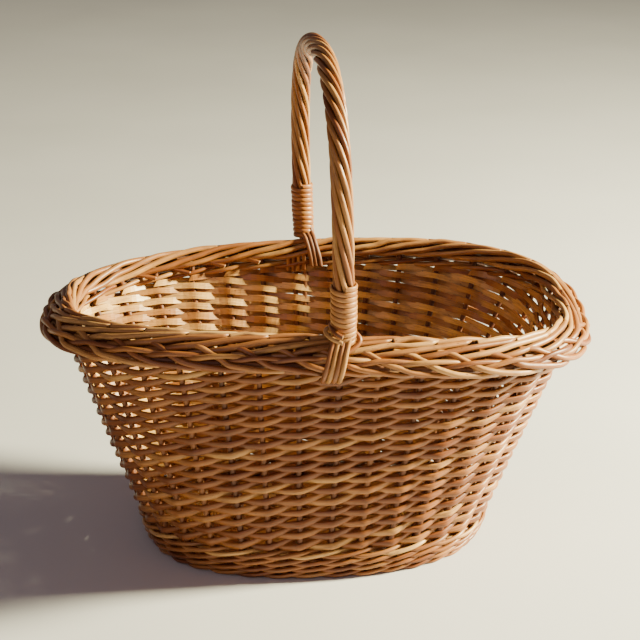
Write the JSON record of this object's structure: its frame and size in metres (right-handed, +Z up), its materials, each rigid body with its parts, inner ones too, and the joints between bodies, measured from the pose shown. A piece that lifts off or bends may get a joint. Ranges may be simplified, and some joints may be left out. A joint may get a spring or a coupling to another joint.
{
  "type": "market basket",
  "caption": "Oval willow market basket with a tapered woven body, a plaited border and a fixed arch handle twisted from rods and lashed to the rim",
  "frame": {"origin": "middle of the underside, on the floor", "axes": "+X along the oval's length, +Y across it towards the back, +Z up"},
  "size_m": [0.4659, 0.3168, 0.4457],
  "materials": {
    "willow": "satin",
    "willow_dark": "satin",
    "willow_pale": "satin"
  },
  "bodies": {
    "root": {"base_long_sticks": "willow_pale", "base_cross_sticks": "willow", "base_weave": "willow", "foot_wale_1": "willow_pale", "foot_wale_2": "willow_pale", "foot_wale_3": "willow_pale", "foot_wale_4": "willow_pale", "foot_wale_inner": "willow_pale", "stakes_right": "willow_dark", "stakes_back": "willow_dark", "stakes_left": "willow_dark", "stakes_front": "willow_dark", "side_weave_outer": "willow", "side_weave_inner": "willow", "top_wale_outer": "willow", "top_wale_inner": "willow", "border_trac_row": "willow", "border_plait_row": "willow", "border_top_row": "willow_pale", "border_inner_row": "willow_pale", "handle_bow": "willow_dark", "handle_twist_front": "willow", "handle_twist_back": "willow", "lashing_front": "willow_pale", "lashing_back": "willow_pale", "outer_tails_front": "willow", "outer_tails_back": "willow", "inner_tails_front": "willow", "inner_tails_back": "willow"}
  },
  "joints": []
}
